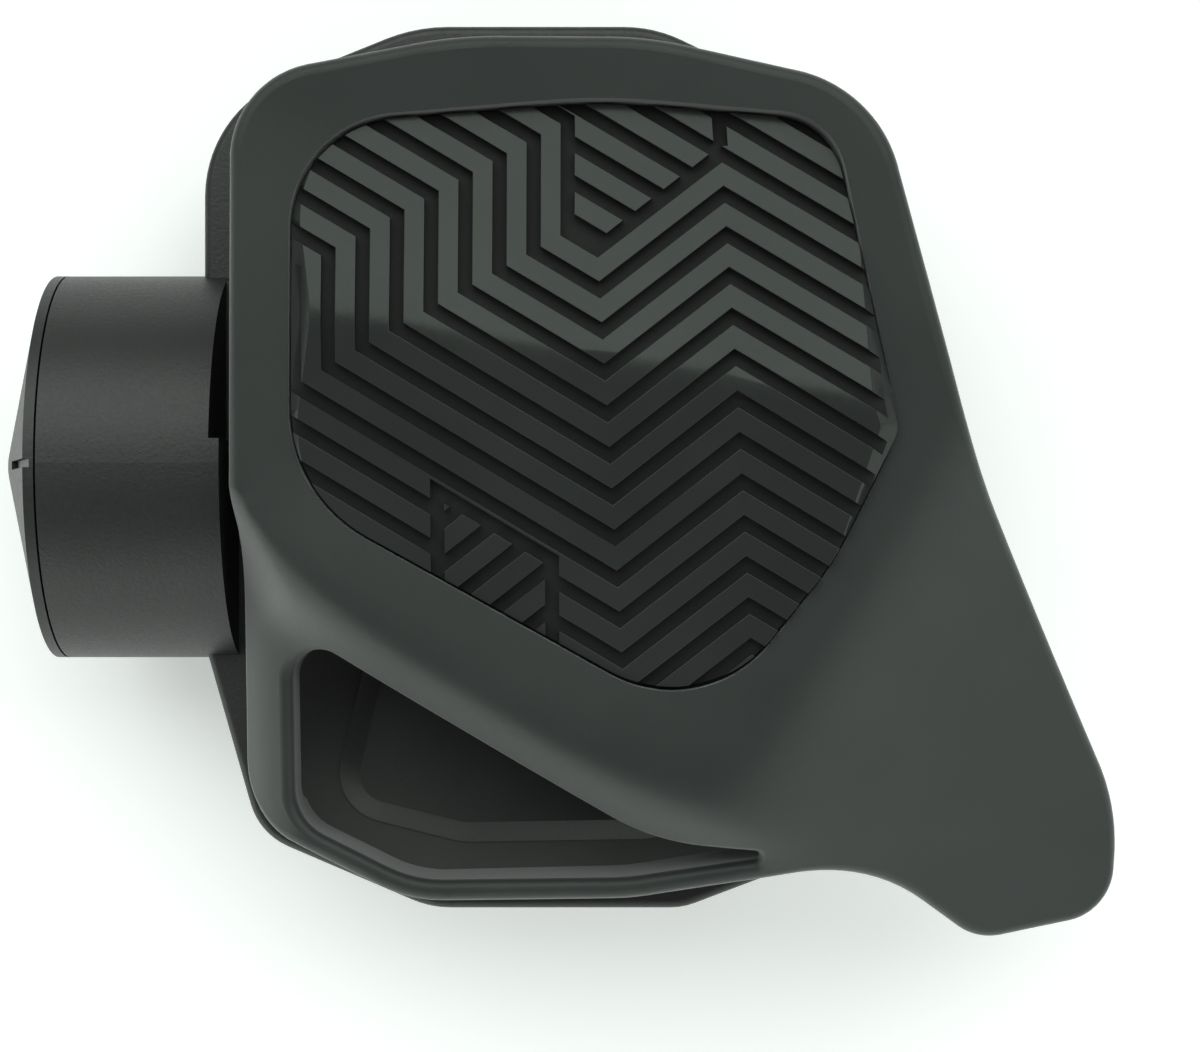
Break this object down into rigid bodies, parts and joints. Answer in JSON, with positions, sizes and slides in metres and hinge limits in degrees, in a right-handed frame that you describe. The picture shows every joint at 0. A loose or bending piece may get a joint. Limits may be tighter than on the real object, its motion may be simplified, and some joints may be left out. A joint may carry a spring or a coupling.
{
  "type": "electronic shift switch",
  "caption": "Wireless handlebar shift switch: a rocking thumb paddle with a ribbed pad and a side wing on a pod housing with a round coin-cell barrel and twist-off cap.",
  "frame": {"origin": "middle of the clamp seat, at the mouth of the threaded clamp insert", "axes": "+Z out of the clamp seat through the paddle face, +X along the battery barrel from its cap towards the paddle wing, +Y towards the upper half of the paddle"},
  "size_m": [0.0661, 0.0539, 0.0319],
  "materials": {
    "housing_plastic": "fine grained black",
    "cover_plastic": "matt black",
    "paddle_plastic": "satin black",
    "pad_plastic": "semi-gloss black",
    "seal_rubber": "matt",
    "screw_steel": "zinc plated",
    "insert_brass": "plain",
    "board_laminate": "green solder mask",
    "module_can": "tinned",
    "antenna_ceramic": "glazed",
    "switch_plastic": "matt black",
    "stem_plastic": "natural",
    "bush_bronze": "sintered",
    "pin_steel": "ground",
    "arm_aluminium": "dark anodised",
    "spring_steel": "drawn wire",
    "cell_steel": "nickel plated",
    "contact_metal": "nickel plated",
    "button_rubber": "matt dark grey",
    "lens_clear": "clear"
  },
  "bodies": {
    "switch_body": {"housing": "housing_plastic", "front_cover": "cover_plastic", "cover_seal": "seal_rubber", "cover_screws": "screw_steel", "clamp_insert": "insert_brass", "circuit_board": "board_laminate", "board_screws": "screw_steel", "radio_module": "module_can", "antenna": "antenna_ceramic", "upper_switch": "switch_plastic", "lower_switch": "switch_plastic", "stem_seals": "seal_rubber", "stop_bumpers": "seal_rubber", "pivot_bushes": "bush_bronze", "coin_cell": "cell_steel", "negative_contact": "contact_metal", "positive_contact": "contact_metal", "upper_spring": "spring_steel", "lower_spring": "spring_steel", "function_switch": "switch_plastic", "status_lens": "lens_clear"},
    "rocker": {"paddle": "paddle_plastic", "thumb_pad": "pad_plastic", "rocker_arm": "arm_aluminium", "arm_screws": "screw_steel", "pivot_pin": "pin_steel"},
    "upper_push": {"upper_stem": "stem_plastic"},
    "lower_push": {"lower_stem": "stem_plastic"},
    "cap": {"battery_cap": "housing_plastic", "battery_cap_seal": "seal_rubber"},
    "button": {"function_button": "button_rubber", "function_button_seal": "seal_rubber"}
  },
  "joints": [
    {"name": "paddle_rock", "type": "hinge", "parent": "switch_body", "child": "rocker", "pos_m": [0.003, 0, 0.0229], "axis": [1, 0, 0], "range_deg": [-4, 4], "stiffness_Nm_per_rad": 0.6, "deforming": ["upper_spring", "lower_spring"]},
    {"name": "upper_stem_slide", "type": "slide", "parent": "switch_body", "child": "upper_push", "axis": [0, 0, 1], "range_m": [-0.00064, 0.00064]},
    {"name": "lower_stem_slide", "type": "slide", "parent": "switch_body", "child": "lower_push", "axis": [0, 0, 1], "range_m": [-0.00064, 0.00064]},
    {"name": "battery_cap_turn", "type": "hinge", "parent": "switch_body", "child": "cap", "pos_m": [-0.0277, 0, 0.0135], "axis": [-1, 0, 0], "range_deg": [0, 45]},
    {"name": "function_button_press", "type": "slide", "parent": "switch_body", "child": "button", "axis": [0, 0, 1], "range_m": [0, 0.0006], "stiffness_N_per_m": 1500, "springref_m": -0.0003}
  ],
  "couplings": [
    {"joint": "upper_stem_slide", "follows": "paddle_rock", "m_per_rad": 0.009},
    {"joint": "lower_stem_slide", "follows": "paddle_rock", "m_per_rad": -0.009}
  ]
}
